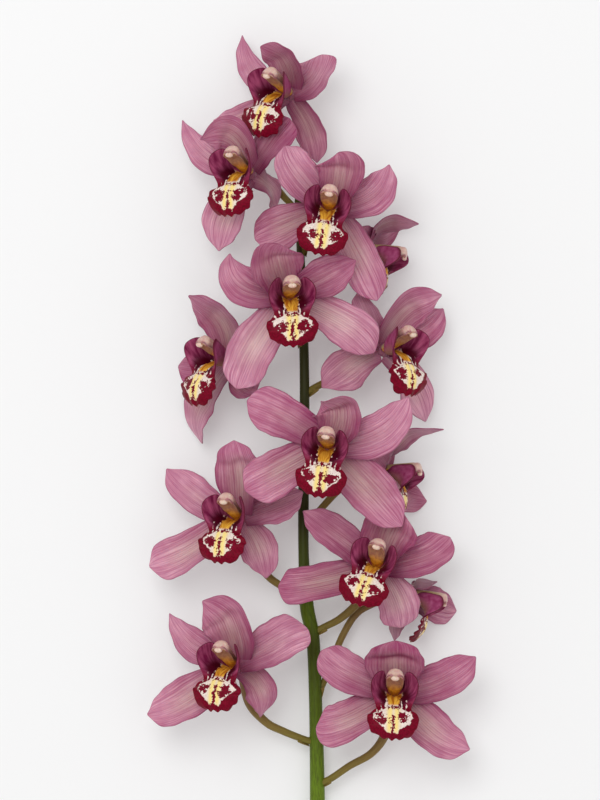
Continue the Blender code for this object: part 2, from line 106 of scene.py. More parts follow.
BLOOMS[9] = dict(
    hub=(384, 468, 24), faces=(0.85, -0.20, 0.25), up=(0.25, 1.0),
    dorsal=dict(mid=(402, 437, 2), tip=(444, 425, 2), width=26, roll=8),
    left=dict(mid=(384, 462, 11), tip=(372, 446, 20), width=22),
    right=dict(mid=(386, 462, -16), tip=(396, 452, -25), width=24),
    low_left=dict(mid=(376, 494, 4), tip=(366, 510, 4), width=22, roll=-25),
    low_right=dict(mid=(402, 494, -20), tip=(428, 502, -24), width=24),
    stalk=[(303.5, 527, 19, 2.0), (313, 518, 19, 2.1), (324, 506, 19, 2.3), (337, 492, 20, 2.5),
           (356, 476, 21, 2.7)],
    size=0.85,
)
BLOOMS[8] = dict(
    hub=(328, 446, 64), faces=(-0.07, 0.16, 0.98), up=(0.13, 1.0),
    dorsal=dict(mid=(338, 413, 7), tip=(322, 397, 12), width=34, cup=0.10, point=2.6, crease=0.7),
    left=dict(mid=(285, 416, -1), tip=(247, 401, -4), width=29, point=3.4),
    right=dict(mid=(376, 431, -1), tip=(408, 397, -4), width=29, point=1.5, bow=3.0),
    low_left=dict(mid=(278, 472, -3), tip=(245, 490, -4), width=31, point=2.8),
    low_right=dict(mid=(369, 490, -4), tip=(402, 526, -9), width=32, point=2.0),
    stalk=[(304, 478, 19.5, 2.2), (300, 466, 22, 2.3), (297, 452, 25, 2.4), (302, 443, 31, 2.6),
           (314, 444, 40, 2.9)],
)
BLOOMS[7] = dict(
    hub=(383, 350, 38), faces=(0.68, 0.28, 0.68), up=(0.12, 1.0),
    dorsal=dict(mid=(405, 309, -1), tip=(441, 292, -4), width=30, cup=0.10, point=1.6, bow=2.0),
    left=dict(mid=(368, 319, -2), tip=(358, 292, -6), width=25, point=1.6),
    right=dict(mid=(422, 329, -14), tip=(444, 308, -23), width=25, point=1.1, bow=1.0),
    low_left=dict(mid=(348, 365, -1), tip=(322, 388, -6), width=28, point=1.6, bow=-2.5),
    low_right=dict(mid=(413, 387, -14), tip=(426, 422, -20), width=29),
    stalk=[(303.5, 395, 19.5, 2.2), (314, 388, 18, 2.3), (330, 380, 17, 2.4), (350, 370, 17, 2.6),
           (370, 357, 20, 2.9)],
)
BLOOMS[6] = dict(
    hub=(230, 362, 30), faces=(-0.70, 0.33, 0.62), up=(0.10, 1.0),
    dorsal=dict(mid=(219, 319, 2), tip=(190, 292, 4), width=36, cup=0.10, point=1.5),
    left=dict(mid=(208, 369, -23), tip=(177, 366, -32), width=30, point=3.0),
    right=dict(mid=(244, 352, 9), tip=(266, 345, 12), width=22),
    low_left=dict(mid=(201, 406, -10), tip=(202, 444, -14), width=36, point=1.8, bow=1.5),
    low_right=dict(mid=(245, 381, 3), tip=(257, 390, 2), width=22, point=3.0),
    stalk=[(304, 446, 19.5, 2.2), (292, 432, 20, 2.2), (276, 416, 20, 2.3), (258, 401, 19, 2.5),
           (245, 383, 19, 2.8)],
)
BLOOMS[5] = dict(
    hub=(289, 297, 57), faces=(0.08, 0.18, 0.98), up=(-0.02, 1.0),
    dorsal=dict(mid=(276, 263, 7), tip=(279, 243, 12), width=37, cup=0.10, point=3.0, crease=0.5),
    left=dict(mid=(244, 284, -1), tip=(230, 254, -2), width=26, point=1.1, bow=-2.5),
    right=dict(mid=(325, 276, 1), tip=(356, 261, 0), width=26, point=1.6, bow=1.5),
    low_left=dict(mid=(254, 349, -3), tip=(237, 389, -6), width=31, point=2.8),
    low_right=dict(mid=(342, 324, -3), tip=(374, 353, -7), width=29, point=2.8),
    stalk=[(303.5, 348, 19, 2.2), (299, 336, 21, 2.3), (296, 324, 25, 2.4), (293, 312, 31, 2.6),
           (290, 303, 39, 2.9)],
)
BLOOMS[4] = dict(
    hub=(370, 246, 23), faces=(0.82, -0.35, 0.25), up=(0.40, 0.9),
    dorsal=dict(mid=(387, 222, 0), tip=(420, 219, 2), width=24, roll=10),
    left=dict(mid=(366, 240, 9), tip=(356, 228, 13), width=20),
    right=dict(mid=(382, 236, -15), tip=(400, 229, -23), width=22),
    low_left=dict(mid=(364, 266, 2), tip=(360, 284, 0), width=20),
    low_right=dict(mid=(374, 268, -14), tip=(378, 285, -20), width=20),
    stalk=[(301.5, 280, 17.5, 1.9), (312, 270, 17, 2.0), (326, 260, 17, 2.2), (340, 253, 18, 2.4),
           (352, 249, 20, 2.6)],
    size=0.85,
)
BLOOMS[3] = dict(
    hub=(329, 209, 53), faces=(-0.02, 0.24, 0.97), up=(0.17, 1.0),
    dorsal=dict(mid=(343, 174, 6), tip=(339, 152, 10), width=32, cup=0.10, point=2.6, bow=-2.5,
                crease=0.4),
    left=dict(mid=(298, 172, 4), tip=(285, 147, 8), width=28, point=1.8, bow=-1.5),
    right=dict(mid=(371, 197, -1), tip=(389, 165, -3), width=27, point=1.5, bow=0.5),
    low_left=dict(mid=(283, 226, -4), tip=(255, 240, -8), width=28, point=3.0, bow=-1.5),
    low_right=dict(mid=(358, 256, -5), tip=(377, 301, -9), width=28, point=2.6),
    stalk=[(301, 256, 17, 2.0), (305, 246, 18, 2.1), (311, 235, 21, 2.3), (318, 223, 26, 2.5),
           (325, 213, 34, 2.8)],
)
BLOOMS[2] = dict(
    hub=(250, 173, 44), faces=(-0.47, 0.32, 0.82), up=(-0.02, 1.0),
    dorsal=dict(mid=(231, 138, 2), tip=(199, 136, 3), width=26, cup=0.08, point=1.6, bow=2.0),
    left=dict(mid=(208, 155, -12), tip=(182, 119, -20), width=20, point=1.0, bow=-1.5),
    right=dict(mid=(272, 140, 5), tip=(290, 119, 5), width=29, point=3.6),
    low_left=dict(mid=(225, 216, -4), tip=(219, 251, -8), width=33, point=1.7, bow=-1.0),
    low_right=dict(mid=(270, 190, -9), tip=(276, 209, -18), width=22, roll=50),
    stalk=[(299, 212, 16, 1.9), (293, 205, 15, 2.0), (285, 197, 15, 2.2), (277, 188, 17, 2.4),
           (266, 178, 21, 2.7)],
)
BLOOMS[1] = dict(
    hub=(290, 93, 32), faces=(-0.55, 0.30, 0.78), up=(0.20, 1.0),
    dorsal=dict(mid=(284, 62, 5), tip=(262, 43, 7), width=29, cup=0.08, point=2.6),
    left=dict(mid=(255, 72, -11), tip=(242, 33, -18), width=18, point=1.0, bow=-1.0),
    right=dict(mid=(314, 77, 3), tip=(321, 54, 0), width=35, point=3.8, bow=-2.5),
    low_left=dict(mid=(240, 118, -7), tip=(213, 119, -12), width=22, point=1.6),
    low_right=dict(mid=(309, 130, -4), tip=(317, 162, -9), width=22, point=1.5, bow=-1.5),
    stalk=[(301.5, 156, 15.5, 1.9), (303, 142, 15, 2.0), (304, 128, 14, 2.2), (302, 114, 15, 2.4)],
)

PLAN_STEP = 0.65                 # mm
PLAN_FOOT = (312.0, 969.0)       # plan column and row that the stem starts from
PLAN_SHIFT = (0.165, -303.249)   # mm, brings the middle of the whole to the origin
TABLE_GAP = 0.02                 # mm, the lowest that tissue comes over the table
PRESSED = 0.6                    # a pressed sheet's middle stands this share of its thickness up


def unit(way):
    """Vectors brought to a length of one."""
    return way / np.maximum(np.linalg.norm(way, axis=-1, keepdims=True), 1e-9)


def plan(px, py, z):
    """A place in millimetres from a plan column, a plan row and a height."""
    return np.array([(px - PLAN_FOOT[0]) * PLAN_STEP + PLAN_SHIFT[0],
                     (PLAN_FOOT[1] - py) * PLAN_STEP + PLAN_SHIFT[1], z])


def bloom_axes(bloom):
    """A bloom's centre, and the ways that its face, its top and its right side look."""
    face = unit(np.array(bloom["faces"], float))
    top = np.array([bloom["up"][0], bloom["up"][1], 0.0])
    top = unit(top - face * (top @ face))
    return plan(*bloom["hub"]), face, top, np.cross(top, face)


def swell(x, low, high):
    """Runs softly from 0 at low to 1 at high."""
    x = np.clip((x - low) / (high - low), 0.0, 1.0)
    return x * x * (3 - 2 * x)


def drawn(t, knots, values):
    """A smooth line through values at knots."""
    knots = np.array(knots, float)
    values = np.array(values, float)
    slope = np.gradient(values, knots)
    k = np.clip(np.searchsorted(knots, t, side="right") - 1, 0, len(knots) - 2)
    span = knots[k + 1] - knots[k]
    u = (t - knots[k]) / span
    return ((2 * u ** 3 - 3 * u ** 2 + 1) * values[k] + (u ** 3 - 2 * u ** 2 + u) * span * slope[k]
            + (3 * u ** 2 - 2 * u ** 3) * values[k + 1] + (u ** 3 - u ** 2) * span * slope[k + 1])


def flat_sheet(name, across, along):
    """A flat grid of faces, with each vertex's share across from -1 to 1 and along from 0 to 1."""
    bpy.ops.object.select_all(action="DESELECT")
    bpy.ops.mesh.primitive_grid_add(x_subdivisions=across, y_subdivisions=along, size=2.0)
    piece = bpy.context.object
    piece.name = piece.data.name = name
    spots = spots_of(piece, 1)
    return piece, spots[:, 0], (spots[:, 1] + 1) / 2


def round_ball(segments, rings):
    """A ball, with each vertex's place on a ball of radius 1."""
    bpy.ops.object.select_all(action="DESELECT")
    bpy.ops.mesh.primitive_uv_sphere_add(segments=segments, ring_count=rings, radius=1.0)
    return bpy.context.object, spots_of(bpy.context.object) / 1000


def put(piece, points):
    """Moves the vertices of a piece to places given in millimetres."""
    piece.data.vertices.foreach_set("co", (points * 0.001).astype(np.float32).ravel())
    piece.data.update()


def spots_of(piece, per_metre=1000):
    """The places of a piece's vertices, in millimetres unless another unit is asked for."""
    spots = np.zeros(len(piece.data.vertices) * 3)
    piece.data.vertices.foreach_get("co", spots)
    return spots.reshape(-1, 3) * per_metre


def keep_above(spots, height):
    """Lifts what would lie lower to a height over the table, as where tissue is pressed flat."""
    spots[:, 2] = np.maximum(spots[:, 2], height)
    return spots


def mark(piece, name, *parts):
    """Writes up to three numbers for each vertex, for the material to read."""
    layer = piece.data.attributes.get(name) or piece.data.attributes.new(
        name, "FLOAT_VECTOR", "POINT")
    values = np.zeros((len(piece.data.vertices), 3), np.float32)
    for k, part in enumerate(parts):
        values[:, k] = part
    layer.data.foreach_set("vector", values.ravel())


def marked(piece, name):
    """Reads the numbers that mark wrote."""
    values = np.zeros(len(piece.data.vertices) * 3, np.float32)
    piece.data.attributes[name].data.foreach_get("vector", values)
    return values.reshape(-1, 3).astype(float)


def give_body(piece, thickness):
    """Makes a sheet a closed solid with rounded rims; its back takes the second material."""
    wall = piece.modifiers.new("Wall", "SOLIDIFY")
    wall.thickness = thickness * 0.001
    wall.offset = 0.0
    wall.material_offset = 1
    bpy.ops.object.modifier_apply(modifier=wall.name)
    smooth = piece.modifiers.new("Rounding", "SUBSURF")
    smooth.levels = smooth.render_levels = 1
    bpy.ops.object.modifier_apply(modifier=smooth.name)
    put(piece, keep_above(spots_of(piece), TABLE_GAP))
    bpy.ops.object.shade_smooth()


def join_all(name, pieces):
    """Joins objects into one of that name."""
    bpy.ops.object.select_all(action="DESELECT")
    for piece in pieces:
        piece.select_set(True)
    bpy.context.view_layer.objects.active = pieces[0]
    bpy.ops.object.join()
    pieces[0].name = pieces[0].data.name = name
    return pieces[0]


def linear(colour):
    """The linear colour of an sRGB hex value."""
    parts = [int(colour[k:k + 2], 16) / 255 for k in (1, 3, 5)]
    return (*[p / 12.92 if p <= 0.04045 else ((p + 0.055) / 1.055) ** 2.4 for p in parts], 1.0)


def add(tree, kind, inputs=None, stops=None, **settings):
    """Adds one node, sets it up, and links or fills its inputs."""
    made = tree.nodes.new(kind)
    for key, value in settings.items():
        setattr(made, key, value)
    if stops:
        ramp = made.color_ramp
        while len(ramp.elements) < len(stops):
            ramp.elements.new(0.5)
        for element, (place, colour) in zip(ramp.elements, stops):
            element.position = place
            element.color = linear(colour)
    for key, value in (inputs or {}).items():
        if isinstance(value, bpy.types.Node):
            value = first_out(value)
        if isinstance(value, bpy.types.NodeSocket):
            tree.links.new(value, made.inputs[key])
        elif isinstance(value, str):
            made.inputs[key].default_value = linear(value)
        else:
            made.inputs[key].default_value = value
    return made


def first_out(node):
    """The output of a node that its settings leave in use."""
    return next(out for out in node.outputs if out.enabled)


def written(tree, name):
    """The numbers that mark wrote, as one vector."""
    return add(tree, "ShaderNodeAttribute", attribute_name=name).outputs["Vector"]


def parts_of(tree, name):
    """The numbers that mark wrote, as three single values."""
    return add(tree, "ShaderNodeSeparateXYZ", {0: written(tree, name)}).outputs


def noise(tree, vector, scale, detail, roughness=0.5):
    """Random clouds, about 1 / scale of the vector's unit wide."""
    return add(tree, "ShaderNodeTexNoise", {
        "Vector": vector, "Scale": scale, "Detail": detail, "Roughness": roughness}).outputs["Fac"]


def between(tree, value, low, high, first, last, soft=False):
    """Runs from first to last while a value runs from low to high."""
    return add(tree, "ShaderNodeMapRange", {0: value, 1: low, 2: high, 3: first, 4: last},
               interpolation_type="SMOOTHSTEP" if soft else "LINEAR")


def reckon(tree, operation, *values):
    """One sum or product."""
    return add(tree, "ShaderNodeMath", dict(enumerate(values)), operation=operation)


def graded(tree, value, *stops):
    """Colours along a value."""
    return add(tree, "ShaderNodeValToRGB", {0: value}, stops=stops)


def laid(tree, share, under, top):
    """One colour laid over another by a share."""
    return add(tree, "ShaderNodeMix", {0: share, 6: under, 7: top}, data_type="RGBA")


def new_material(name, **values):
    """A material, its tree, its one principled shader, and the place on the piece."""
    material = bpy.data.materials.new(name)
    material.use_nodes = True
    tree = material.node_tree
    shader = tree.nodes["Principled BSDF"]
    for key, value in values.items():
        shader.inputs[key.replace("_", " ")].default_value = value
    return material, tree, shader, add(tree, "ShaderNodeTexCoord").outputs["Object"]


def give_finish(tree, shader, colour, grain, rough, height, strength, distance):
    """Colour, a gloss that follows the grain between two values, and a relief, distance in m."""
    gloss = between(tree, grain, 0.3, 0.7, *rough)
    relief = add(tree, "ShaderNodeBump", {
        "Strength": strength, "Distance": distance, "Height": height})
    for node, socket in ((colour, "Base Color"), (gloss, "Roughness"), (relief, "Normal")):
        tree.links.new(first_out(node), shader.inputs[socket])


def petal_tissue(name, pale, rose, deep, strongest):
    """Petal tissue: translucent cells in rows between parallel veins, with a soft satin gloss."""
    material, tree, shader, spot = new_material(
        name, IOR=1.4, Sheen_Weight=0.15, Sheen_Roughness=0.5, Subsurface_Weight=0.1,
        Subsurface_Scale=0.002)
    vein = written(tree, "vein")
    edge, cream, crease_pigment_and_shade = parts_of(tree, "marks")
    shade, tone, _ = parts_of(tree, "tone_and_painted_shade")
    # Veins stand about 1.4 mm apart, among streaks of colour about 1.6 mm wide
    streak = noise(tree, vein, 1.5, 4.0, 0.7)
    lines = add(tree, "ShaderNodeTexWave", {
        "Vector": vein, "Scale": 0.52, "Distortion": 2.6, "Detail": 2.0, "Detail Scale": 0.5},
        wave_type="BANDS", bands_direction="X", wave_profile="SIN").outputs["Fac"]
    strength = between(tree, streak, 0.35, 0.68, 0.08, strongest)
    line = between(tree, lines, 0.45, 1.0, 0.0, strength, soft=True)
    # Broad clouds of colour about 12 mm wide
    cloud = noise(tree, spot, 80.0, 2.0)
    colour = graded(tree, streak, (0.32, pale), (0.66, rose))
    colour = laid(tree, between(tree, cloud, 0.38, 0.68, 0.0, 0.6), colour, rose)
    creamed = reckon(tree, "MULTIPLY", cream, between(tree, streak, 0.35, 0.7, 1.0, 0.45))
    colour = laid(tree, creamed, colour, "#D6BFB2")
    colour = laid(tree, line, colour, deep)
    # A dark band across the dorsal sepal's crease is partly pigment and partly painted shade,
    # painted shade darkens the bases round the lip, and the colour is darker along the thin margin,
    # about half a millimetre wide
    colour = laid(tree, crease_pigment_and_shade, colour, "#7A2C4A")
    colour = laid(tree, shade, colour, "#6C1F42")
    colour = laid(tree, between(tree, edge, 0.15, 0.9, 0.3, 0.0, soft=True), colour, "#6B2A49")
    # Some blades are darker and richer than others at random, painted shade darkens the dorsal
    # sepals and the right petals and each blade towards its base, and margins are darker and richer
    colour = add(tree, "ShaderNodeHueSaturation", {
        "Saturation": between(tree, tone, -1.0, 1.0, 1.2, 0.95),
        "Value": between(tree, tone, -1.0, 1.0, 0.76, 1.12), "Color": colour})
    # Cells about 0.4 mm wide give the satin its fine grain, and the veins are slightly raised
    cells = noise(tree, spot, 2600.0, 2.0)
    give_finish(tree, shader, colour, cells, (0.42, 0.58),
                reckon(tree, "MULTIPLY_ADD", cells, 0.3, lines), 0.35, 0.0003)
    return material


petal_front = petal_tissue("petal_tissue_front", "#DDA3B6", "#AD5B7E", "#842E54", 0.36)
petal_back = petal_tissue("petal_tissue_back", "#D29BAC", "#A66882", "#864260", 0.28)

# How far a blade's surface leaves its plain curve, in mm
MARGIN_RUFFLE = 0.9     # short waves along each margin
SWAY = 2.0              # one long wave of the whole blade
TWIST = 1.4             # one side stands higher than the other
MIDRIB_GROOVE = 0.5
RIB_RELIEF = 0.12       # six soft ribs on each side of the midrib
HOOD = 3.0              # the dorsal sepal's end bends over the column
CREASE_DEPTH = 1.4      # the fold where it bends
PLAIN_POINT = 2.2
PLAIN_CREASE = 0.2


def blade_share(t, point):
    """Half width of a blade along its length, as a share of its widest."""
    steps = np.array([0.0, 0.243, 0.472, 0.62, 0.74, 0.866, 0.95, 1.0])
    widest = 0.56
    rise = 0.5 + 0.5 * np.sin(0.5 * np.pi * np.minimum(steps / widest, 1.0)) ** 1.1
    u = np.clip((steps - widest) / (1 - widest), 0.0, 1.0)
    fall = np.maximum(1 - u ** point, 0.0) ** 0.72
    values = np.where(steps < widest, rise, fall * 0.92 + 0.08)
    values[-2] = min(max(0.42 + 0.12 * (point - PLAIN_POINT), 0.36), 0.6) * values[-3]
    values[-1] = 0.03
    return drawn(t, steps, values)


def blade(name, bloom, label, seat, seed):
    """One sepal or petal from its base at the receptacle to its tip."""
    hub, f, _, _ = bloom_axes(bloom)
    spec = bloom[label]
    chance = np.random.default_rng(seed)
    phase = chance.uniform(0.0, 1.0, 8)
    middle = plan(spec["mid"][0], spec["mid"][1], hub[2] + spec["mid"][2])
    tip = plan(spec["tip"][0], spec["tip"][1], hub[2] + spec["tip"][2])
    radial = middle - hub
    radial = unit(radial - f * (radial @ f))
    side = np.cross(radial, f)
    # The midrib is one curve through the base, the middle and the tip
    start = hub + radial * BLADE_FOOT + f * seat
    bend = middle * 2 - (start + tip) * 0.5
    piece, s, share = flat_sheet(name, 12, 24)
    t = 1 - (1 - share) ** 1.15
    c = t[:, None]
    spot = start * (1 - c) ** 2 + bend * 2 * c * (1 - c) + tip * c * c
    along = unit((bend - start) * (1 - c) + (tip - bend) * c)
    across = unit(side - along * (along @ side)[:, None])
    face = np.cross(across, along)
    turn = (math.radians(spec.get("roll", 0.0)) * swell(t, 0.0, 0.35))[:, None]
    rolled = across * np.cos(turn) + face * np.sin(turn)
    face = np.cross(rolled, along)
    width = spec["width"]
    wave = np.where(s < 0, phase[0], phase[1])
    half = 0.5 * width * blade_share(t, spec.get("point", PLAIN_POINT))
    half = half * (1 + 0.06 * np.sin(2 * np.pi * (1.3 * t + wave)) * np.abs(s)
                   + 0.02 * np.sin(2 * np.pi * (4.7 * t + 2 * wave)) * np.abs(s))
    bow = spec.get("bow", (phase[7] - 0.5) * 2.4)
    spot = spot + rolled * (bow * np.sin(np.pi * t) * (0.3 + t))[:, None]
    lift = spec.get("cup", 0.07) * width * s * s * np.sin(np.pi * np.minimum(t * 1.1, 1.0))
    # The margin waves, the blade as a whole undulates, and a groove follows the midrib
    ruffle = MARGIN_RUFFLE * np.abs(s) ** 2.5 * np.sin(np.pi * t) ** 0.6
    lift += ruffle * (0.6 * np.sin(2 * np.pi * (2.1 * t + wave * 3)) + 0.4 * np.sin(
        2 * np.pi * (4.3 * t + wave * 5)))
    lift += (SWAY * np.sin(2 * np.pi * (0.9 * t + phase[3])) * np.sin(np.pi * t)
             * np.cos(1.3 * s + phase[4] * 3))
    lift += TWIST * (phase[6] - 0.5) * 2 * s * np.sin(np.pi * t)
    lift -= MIDRIB_GROOVE * np.exp(-(s / 0.1) ** 2) * np.sqrt(1 - 0.9 * t)
    lift += RIB_RELIEF * np.cos(2 * np.pi * 6 * s) * np.sin(np.pi * t)
    crease = spec.get("crease", PLAIN_CREASE)
    if label == "dorsal":
        lift += HOOD * swell(t, 0.55, 0.9) - CREASE_DEPTH * crease * np.exp(
            -((t - 0.6) / 0.08) ** 2) * (1 - s * s)
    spots = spot + rolled * (s * half)[:, None] + face * lift[:, None]
    put(piece, keep_above(spots, BLADE_THICKNESS * PRESSED))
    mark(piece, "vein", s * 6 * (0.35 + 0.65 * blade_share(t, PLAIN_POINT)), t, seed * 3.7)
    mark(piece, "marks", s, t, half)
    piece.data.materials.append(petal_front)
    piece.data.materials.append(petal_back)
    give_body(piece, BLADE_THICKNESS)
    s, t, half = marked(piece, "marks").T
    # What the tissue reads: mm to the margin, the paler middle, the crease (pigment and painted
    # shade), painted shade round the throat, and the tone
    edge = np.minimum(half * (1 - np.abs(s)), (1 - t) * np.linalg.norm(tip - start))
    sepal = label in ("dorsal", "low_left", "low_right")
    cream = (np.exp(-(s / (0.55 if sepal else 0.35)) ** 2) * swell(t, 0.02, 0.2)
             * (1 - swell(t, 0.42, 0.85)))
    cream *= 0.65 if sepal else 0.25
    # A dark band across the dorsal sepal's crease, partly pigment and partly painted shade
    crease_pigment_and_shade = np.zeros(len(s))
    if label == "dorsal":
        fold = t - 0.64 + 0.07 * s * s + 0.03 * np.sin(5 * s + phase[5] * 6)
        crease_pigment_and_shade = 0.8 * crease * np.exp(-(fold / 0.05) ** 2) * (1 - np.abs(s) ** 3)
    # Painted shade darkens each blade round the receptacle, where it meets the lip and column, more
    # towards its margins
    far = np.linalg.norm(spots_of(piece) - hub, axis=1)
    shade = ((0.65 if sepal else 0.9) * np.exp(-np.maximum(far - 13.0, 0.0) / 10.0)
             * (0.65 + 0.35 * s * s))
    mark(piece, "marks", edge, cream, crease_pigment_and_shade)
    # Tone: random for each blade, lowered for the dorsal sepal and right petal as painted shade,
    # rising towards the tip so that painted shade darkens the base, and lower at the margins
    tone = chance.uniform(-0.9, 0.9) - {"dorsal": 0.8, "right": 0.3}.get(label, 0.0)
    tone += 0.8 * swell(t, 0.3, 0.8) - 0.35 * np.abs(s) ** 3 - 0.2
    mark(piece, "tone_and_painted_shade", shade, np.clip(tone, -1.0, 1.0), 0.0)
    return piece


# The receptacle is a short rounded drum that the blades grow from. Each blade starts a little way
# out from its middle, and in front of or behind it, in mm.
RECEPTACLE_RADIUS = 4.4
RECEPTACLE_DEPTH = 2.5
RECEPTACLE_FRONT = 2.2
BLADE_FOOT = 2.4
BLADES = (("dorsal", -0.6), ("left", 0.5), ("right", 0.5), ("low_left", -1.0), ("low_right", -1.0))

for number, bloom in BLOOMS.items():
    label = "bloom_%02d" % number
    hub, f, u, r = bloom_axes(bloom)
    pieces = [blade("%s_%s" % (label, way), bloom, way, seat, number * 10 + k)
              for k, (way, seat) in enumerate(BLADES)]
    drum, spots = round_ball(20, 12)
    spots = np.sign(spots) * np.abs(spots) ** 0.8
    put(drum, hub + (r * spots[:, :1] + u * spots[:, 1:2]) * RECEPTACLE_RADIUS
        + f * (spots[:, 2:] * RECEPTACLE_DEPTH - 0.4))
    drum.data.materials.append(petal_front)
    bpy.ops.object.shade_smooth()
    mark(drum, "vein", spots[:, 0] * 3, spots[:, 1] * 3, number)
    mark(drum, "marks", 5.0, 0.3, 0.0)
    # Painted shade darkens the receptacle
    mark(drum, "tone_and_painted_shade", 0.7, 0.0, 0.0)
    tepals = join_all(label + "_sepals_petals", pieces + [drum])
    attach(tepals, "root")
    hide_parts(label + "_tepals")

# Lips
# The third petal of each bloom: fleshier tissue with two side lobes that stand up beside the column
# and a ruffled middle lobe that hangs, with two soft ridges down its middle. Cream, with a maroon
# margin, maroon blotches and an orange throat.

LIP_THICKNESS = 1.1
LIP_DROP = 3.4         # mm from the bloom's centre down to the lip's foot
SEAM = 0.3             # mm between the receptacle and what grows on it
LOBE_REACH = 9.0       # mm that the side lobes' margins stand forward of the lip's own curve
LOBE_TUCK = 1.5        # mm that they lean back down
MARGIN_FRILL = 1.3     # mm, waves about 5 mm long on the hanging lobe's margin
END_FRILL = 1.2        # mm, waves across its end
RIDGE_PLACE = 1.9      # mm from the middle to each ridge


def lip_spots(s, t, phase):
    """Forward, up and right places on the lip in mm, for shares across and along."""
    knots = [0, 0.15, 0.3, 0.45, 0.6, 0.75, 0.9, 1]
    forward = drawn(t, knots, [0, 5, 10.5, 15, 18, 19, 17, 14.5])
    up = drawn(t, knots, [0, -2.2, -4.6, -8, -13.8, -21.4, -29, -33])
    half = drawn(t, [0, 0.1, 0.2, 0.3, 0.38, 0.44, 0.5, 0.56, 0.63, 0.71, 0.79, 0.87, 0.94, 1],
                 [2.6, 6.0, 8.6, 11.6, 15.2, 14.6, 11.4, 12.6, 15.8, 17.0, 16.4, 15.0, 13.0, 9.0])
    # How high the side lobes rise, and how far the lip leans out as it hangs
    raised = np.maximum(drawn(t, [0, 0.12, 0.24, 0.33, 0.40, 0.46, 0.52, 1],
                              [4.0, 13.0, 17.5, 15.0, 9.5, 4.0, 0.0, 0.0]), 0)
    lean = np.clip(drawn(t, [0, 0.3, 0.5, 0.7, 0.9, 1], [0.15, 0.3, 0.7, 0.97, 0.9, 0.85]), 0, 0.98)
    share = np.minimum(raised / 9.0, 1.0)
    right = half * ((1 - share) * s + share * np.sign(s) * np.sin(
        (2.15 - 0.6 * swell(t, 0.2, 0.36)) * np.abs(s)))
    lift = raised * (1 - np.cos(1.55 * s)) - 3.0 * s * s * (1 - share)
    rim = swell(t, 0.5, 0.62) * np.abs(s) ** 3 * np.sin(
        2 * np.pi * (7 * t + phase[0] + 0.3 * np.sign(s)))
    end = swell(t, 0.8, 1.0) * np.sin(2 * np.pi * (1.8 * s + phase[1]))
    lift += MARGIN_FRILL * rim + END_FRILL * end * (1 - 0.5 * np.abs(s))
    # The two ridges run from the throat to the middle of the hanging lobe, and are highest above
    keel = (np.exp(-((np.abs(right) - RIDGE_PLACE) / 0.95) ** 2) * swell(t, 0.06, 0.2)
            * (1 - swell(t, 0.72, 0.86)))
    lift += (1.3 + 1.2 * (1 - swell(t, 0.3, 0.45))) * keel
    tall = np.sqrt(1 - lean * lean)
    out = np.maximum(t - 0.62, 0.0) * 12.0 * s * s
    reach = swell(t, 0.02, 0.2) * (1 - swell(t, 0.34, 0.5)) * s * s
    forward = forward + LOBE_REACH * reach
    out = out - LOBE_TUCK * reach
    return forward + lean * lift, up + tall * lift + out, right


def lip_tissue():
    """Lip tissue: plump glossy cells; the pigment lies in sharp ragged patches."""
    material, tree, shader, spot = new_material(
        "lip_tissue_front", IOR=1.4, Specular_IOR_Level=0.12)
    field, patch, ridge = parts_of(tree, "field")
    throat, lobe, deep = parts_of(tree, "glow")
    run = written(tree, "run")
    # The edges of the patches wander by about 1 mm, every 2.4 mm, and blotches by flecks of 1.1 mm
    wander = between(tree, noise(tree, spot, 420.0, 3.0), 0.25, 0.75, -1.3, 1.3)
    grain = noise(tree, spot, 900.0, 2.0)
    fleck = between(tree, grain, 0.3, 0.7, -1.0, 1.0)
    cream = between(tree, reckon(tree, "ADD", field, wander), -0.2, 0.25, 0.0, 1.0)
    blotch = between(tree, reckon(tree, "ADD", patch, reckon(tree, "ADD", wander, fleck)),
                     -0.2, 0.25, 0.0, 1.0)
    maroon = graded(tree, grain, (0.3, "#5E0016"), (0.7, "#800024"))
    white = graded(tree, grain, (0.35, "#EFE2D6"), (0.7, "#DCC6C0"))
    pale = laid(tree, ridge, white, "#F6DC86")
    # Streaks of yellow and brown orange, about 0.8 mm wide, run down the throat
    down = add(tree, "ShaderNodeMapping", {"Vector": run, "Scale": (5.0, 0.1, 1.0)})
    orange = graded(tree, noise(tree, down, 1.0, 2.0), (0.38, "#B4691A"), (0.62, "#EDB440"))
    pale = laid(tree, throat, pale, orange)
    colour = laid(tree, cream, maroon, pale)
    colour = laid(tree, blotch, colour, maroon)
    # Inside the side lobes the pigment is magenta, with streaks about 1.7 mm wide that run out to
    # the margin, and it is nearly black towards the column
    flush = graded(tree, noise(tree, run, 1.0, 3.0), (0.35, "#6C123C"), (0.65, "#A44A6E"))
    colour = laid(tree, lobe, colour, flush)
    dark = reckon(tree, "MULTIPLY", deep, between(tree, cream, 0.0, 1.0, 0.85, 0.0))
    colour = laid(tree, dark, colour, "#380016")
    # Cells are about 0.4 mm wide
    give_finish(tree, shader, colour, grain, (0.35, 0.52), noise(tree, spot, 2600.0, 2.0),
                0.4, 0.0002)
    return material


def lip_outside():
    """The outside of the lip: magenta flushed over olive cream, in clouds about 3 mm wide."""
    material, tree, shader, spot = new_material(
        "lip_tissue_outside", IOR=1.4, Specular_IOR_Level=0.3)
    middle, margin, _ = parts_of(tree, "edge_out")
    grain = noise(tree, spot, 350.0, 3.0)
    flush = graded(tree, grain, (0.3, "#8A2C57"), (0.7, "#A8527A"))
    colour = laid(tree, margin, laid(tree, middle, flush, "#9A6A58"), "#5E0A28")
    give_finish(tree, shader, colour, grain, (0.4, 0.55), noise(tree, spot, 2600.0, 2.0),
                0.4, 0.0002)
    return material


lip_front = lip_tissue()
lip_back = lip_outside()

